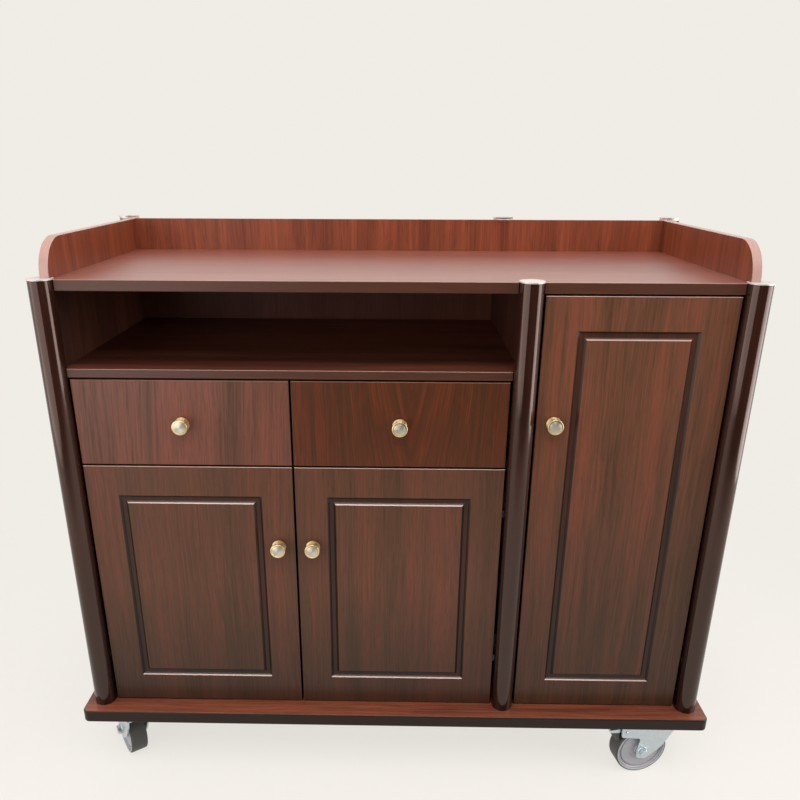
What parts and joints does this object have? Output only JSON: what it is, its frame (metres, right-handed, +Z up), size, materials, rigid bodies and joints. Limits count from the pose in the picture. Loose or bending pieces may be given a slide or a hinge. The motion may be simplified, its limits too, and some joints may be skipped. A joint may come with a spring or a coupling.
{
  "type": "mobile service cabinet",
  "caption": "Wheeled service cabinet with an open niche, drawers, small doors, a tall door, round posts and a low gallery round the worktop.",
  "frame": {"origin": "on the floor under the middle of the base board", "axes": "+X along the front towards the tall door's side, +Y from the front to the back, +Z up"},
  "size_m": [1.2, 0.52, 1.04],
  "materials": {
    "board": "satin dark mahogany veneer",
    "worktop": "gloss mahogany",
    "front": "satin dark mahogany",
    "post": "gloss dark stain",
    "drawer_wood": "matt pale wood",
    "cap": "polished",
    "knob": "polished with a brushed pale face",
    "plated_steel": "bright zinc plate",
    "hub": "matt light grey",
    "tyre": "matt dark grey"
  },
  "bodies": {
    "carcass": {"base_board": "board", "side_panel_left": "board", "side_panel_right": "board", "centre_divider": "board", "back_panel": "board", "niche_shelf": "board", "drawer_deck": "board", "drawer_upright": "board", "cupboard_shelf": "board", "tall_shelf_lower": "board", "tall_shelf_upper": "board", "worktop": "worktop", "post_front_left": "post", "post_front_middle": "post", "post_front_right": "post", "post_rear_left": "post", "post_rear_middle": "post", "post_rear_right": "post", "post_caps": "cap", "shelf_pins": "plated_steel", "hinge_arms": "plated_steel", "runner_strips": "drawer_wood", "runner_channels": "plated_steel", "caster_plates": "plated_steel", "caster_screws": "plated_steel"},
    "left_door": {"left_door": "front", "left_door_hinge_cups": "plated_steel", "left_door_knob": "knob"},
    "right_door": {"right_door": "front", "right_door_hinge_cups": "plated_steel", "right_door_knob": "knob"},
    "tall_door": {"tall_door": "front", "tall_door_hinge_cups": "plated_steel", "tall_door_knob": "knob"},
    "left_drawer": {"left_drawer_front": "front", "left_drawer_sides": "drawer_wood", "left_drawer_back": "drawer_wood", "left_drawer_floor": "drawer_wood", "left_drawer_rails": "plated_steel", "left_drawer_knob": "knob"},
    "right_drawer": {"right_drawer_front": "front", "right_drawer_sides": "drawer_wood", "right_drawer_back": "drawer_wood", "right_drawer_floor": "drawer_wood", "right_drawer_rails": "plated_steel", "right_drawer_knob": "knob"},
    "swivel_front_left": {"caster_front_left_fork": "plated_steel"},
    "wheel_front_left": {"caster_front_left_hub": "hub", "caster_front_left_tyre": "tyre"},
    "pedal_front_left": {"caster_front_left_pedal": "plated_steel"},
    "swivel_front_right": {"caster_front_right_fork": "plated_steel"},
    "wheel_front_right": {"caster_front_right_hub": "hub", "caster_front_right_tyre": "tyre"},
    "pedal_front_right": {"caster_front_right_pedal": "plated_steel"},
    "swivel_rear_left": {"caster_rear_left_fork": "plated_steel"},
    "wheel_rear_left": {"caster_rear_left_hub": "hub", "caster_rear_left_tyre": "tyre"},
    "swivel_rear_right": {"caster_rear_right_fork": "plated_steel"},
    "wheel_rear_right": {"caster_rear_right_hub": "hub", "caster_rear_right_tyre": "tyre"}
  },
  "joints": [
    {"name": "left_door_hinge", "type": "hinge", "parent": "carcass", "child": "left_door", "pos_m": [-0.5425, -0.222, 0.407], "axis": [0, 0, -1], "range_deg": [0, 105]},
    {"name": "right_door_hinge", "type": "hinge", "parent": "carcass", "child": "right_door", "pos_m": [0.188, -0.222, 0.407], "axis": [0, 0, 1], "range_deg": [0, 105]},
    {"name": "tall_door_hinge", "type": "hinge", "parent": "carcass", "child": "tall_door", "pos_m": [0.5425, -0.222, 0.5555], "axis": [0, 0, 1], "range_deg": [0, 105]},
    {"name": "left_drawer_slide", "type": "slide", "parent": "carcass", "child": "left_drawer", "axis": [0, -1, 0], "range_m": [0, 0.3]},
    {"name": "right_drawer_slide", "type": "slide", "parent": "carcass", "child": "right_drawer", "axis": [0, -1, 0], "range_m": [0, 0.3]},
    {"name": "swivel_front_left_joint", "type": "hinge", "parent": "carcass", "child": "swivel_front_left", "pos_m": [-0.524, -0.203, 0.12], "axis": [0, 0, 1], "continuous": true},
    {"name": "wheel_front_left_joint", "type": "hinge", "parent": "swivel_front_left", "child": "wheel_front_left", "pos_m": [-0.54306, -0.17606, 0.053], "axis": [0.8163, 0.5776, 0], "continuous": true},
    {"name": "pedal_front_left_joint", "type": "hinge", "parent": "swivel_front_left", "child": "pedal_front_left", "pos_m": [-0.56674, -0.14259, 0.106], "axis": [-0.8163, -0.5776, 0], "range_deg": [0, 8]},
    {"name": "swivel_front_right_joint", "type": "hinge", "parent": "carcass", "child": "swivel_front_right", "pos_m": [0.524, -0.203, 0.12], "axis": [0, 0, 1], "continuous": true},
    {"name": "wheel_front_right_joint", "type": "hinge", "parent": "swivel_front_right", "child": "wheel_front_right", "pos_m": [0.49171, -0.20979, 0.053], "axis": [-0.2059, 0.9786, 0], "continuous": true},
    {"name": "pedal_front_right_joint", "type": "hinge", "parent": "swivel_front_right", "child": "pedal_front_right", "pos_m": [0.45159, -0.21823, 0.106], "axis": [0.2059, -0.9786, 0], "range_deg": [0, 8]},
    {"name": "swivel_rear_left_joint", "type": "hinge", "parent": "carcass", "child": "swivel_rear_left", "pos_m": [-0.524, 0.203, 0.12], "axis": [0, 0, 1], "continuous": true},
    {"name": "wheel_rear_left_joint", "type": "hinge", "parent": "swivel_rear_left", "child": "wheel_rear_left", "pos_m": [-0.49857, 0.18196, 0.053], "axis": [-0.6374, -0.7705, 0], "continuous": true},
    {"name": "swivel_rear_right_joint", "type": "hinge", "parent": "carcass", "child": "swivel_rear_right", "pos_m": [0.524, 0.203, 0.12], "axis": [0, 0, 1], "continuous": true},
    {"name": "wheel_rear_right_joint", "type": "hinge", "parent": "swivel_rear_right", "child": "wheel_rear_right", "pos_m": [0.4973, 0.1836, 0.053], "axis": [-0.5878, 0.809, 0], "continuous": true}
  ]
}
